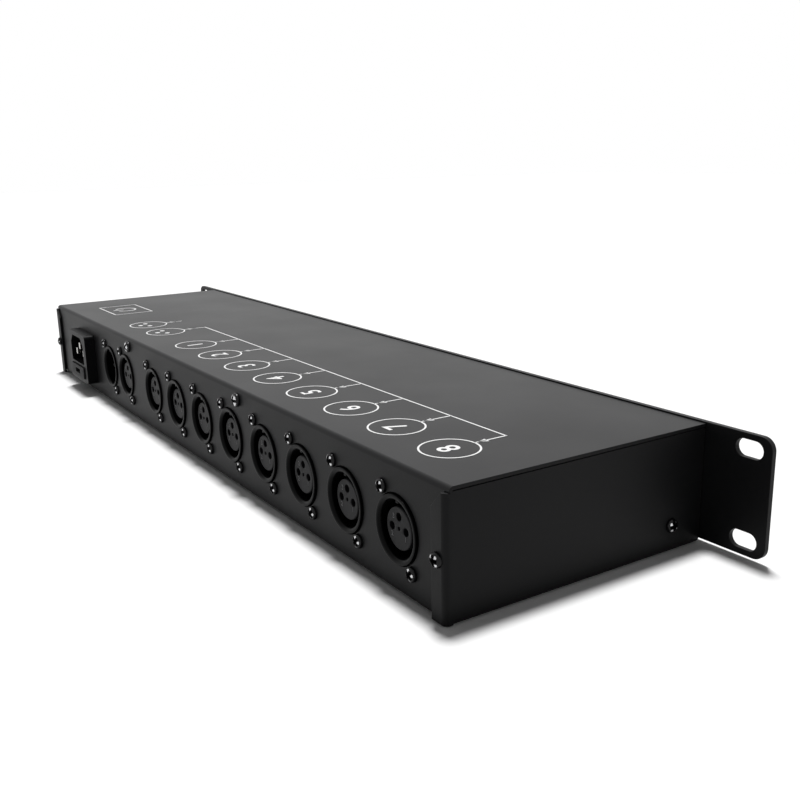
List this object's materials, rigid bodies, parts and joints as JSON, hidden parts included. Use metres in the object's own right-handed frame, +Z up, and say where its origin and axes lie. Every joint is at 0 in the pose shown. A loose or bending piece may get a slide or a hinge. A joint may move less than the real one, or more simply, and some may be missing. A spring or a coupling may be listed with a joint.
{
  "type": "rack dmx splitter",
  "caption": "Black one-unit rack splitter for stage lighting data: a row of XLR sockets, a fused mains inlet and two slotted rack ears.",
  "frame": {"origin": "centre of the bounding box at the underside of the case", "axes": "+X along the case towards the mains end, +Y from the front panel to the connector side, +Z up"},
  "size_m": [0.4826, 0.1214, 0.0437],
  "materials": {
    "case_coat": "fine matt powder coat, black",
    "connector_shell": "satin black on zinc",
    "connector_insert": "moulded, dark grey",
    "black_screw": "glossy black steel",
    "black_plastic": "moulded, fine texture",
    "light_lens": "clear moulded",
    "blade_metal": "nickel plate",
    "circuit_board": "green solder mask",
    "zinc_steel": "zinc plate"
  },
  "bodies": {
    "case": {"top_cover": "case_coat", "base_tray": "case_coat", "front_panel": "case_coat", "indicator_light_pipe": "light_lens", "xlr_input_shell": "connector_shell", "xlr_input_insert": "connector_insert", "xlr_input_screw_upper": "black_screw", "xlr_input_screw_lower": "black_screw", "xlr_through_shell": "connector_shell", "xlr_through_insert": "connector_insert", "xlr_through_screw_upper": "black_screw", "xlr_through_screw_lower": "black_screw", "xlr_output_1_shell": "connector_shell", "xlr_output_1_insert": "connector_insert", "xlr_output_1_screw_upper": "black_screw", "xlr_output_1_screw_lower": "black_screw", "xlr_output_2_shell": "connector_shell", "xlr_output_2_insert": "connector_insert", "xlr_output_2_screw_upper": "black_screw", "xlr_output_2_screw_lower": "black_screw", "xlr_output_3_shell": "connector_shell", "xlr_output_3_insert": "connector_insert", "xlr_output_3_screw_upper": "black_screw", "xlr_output_3_screw_lower": "black_screw", "xlr_output_4_shell": "connector_shell", "xlr_output_4_insert": "connector_insert", "xlr_output_4_screw_upper": "black_screw", "xlr_output_4_screw_lower": "black_screw", "xlr_output_5_shell": "connector_shell", "xlr_output_5_insert": "connector_insert", "xlr_output_5_screw_upper": "black_screw", "xlr_output_5_screw_lower": "black_screw", "xlr_output_6_shell": "connector_shell", "xlr_output_6_insert": "connector_insert", "xlr_output_6_screw_upper": "black_screw", "xlr_output_6_screw_lower": "black_screw", "xlr_output_7_shell": "connector_shell", "xlr_output_7_insert": "connector_insert", "xlr_output_7_screw_upper": "black_screw", "xlr_output_7_screw_lower": "black_screw", "xlr_output_8_shell": "connector_shell", "xlr_output_8_insert": "connector_insert", "xlr_output_8_screw_upper": "black_screw", "xlr_output_8_screw_lower": "black_screw", "bracket_screw_left": "black_screw", "flange_screw_left": "black_screw", "side_screw_left": "black_screw", "bracket_screw_right": "black_screw", "flange_screw_right": "black_screw", "side_screw_right": "black_screw", "inlet_housing": "black_plastic", "inlet_blade_line": "blade_metal", "inlet_blade_neutral": "blade_metal", "inlet_blade_earth": "blade_metal", "rocker_frame": "black_plastic", "connector_board": "circuit_board", "board_bracket": "zinc_steel", "power_supply": "zinc_steel"},
    "drawer": {"fuse_drawer": "black_plastic"},
    "rocker": {"power_rocker": "black_plastic"}
  },
  "joints": [
    {"name": "fuse_drawer_slide", "type": "slide", "parent": "case", "child": "drawer", "axis": [0, 1, 0], "range_m": [0, 0.018]},
    {"name": "power_rocker_tip", "type": "hinge", "parent": "case", "child": "rocker", "pos_m": [0.186, -0.05275, 0.0226], "axis": [1, 0, 0], "range_deg": [-20, 0]}
  ]
}
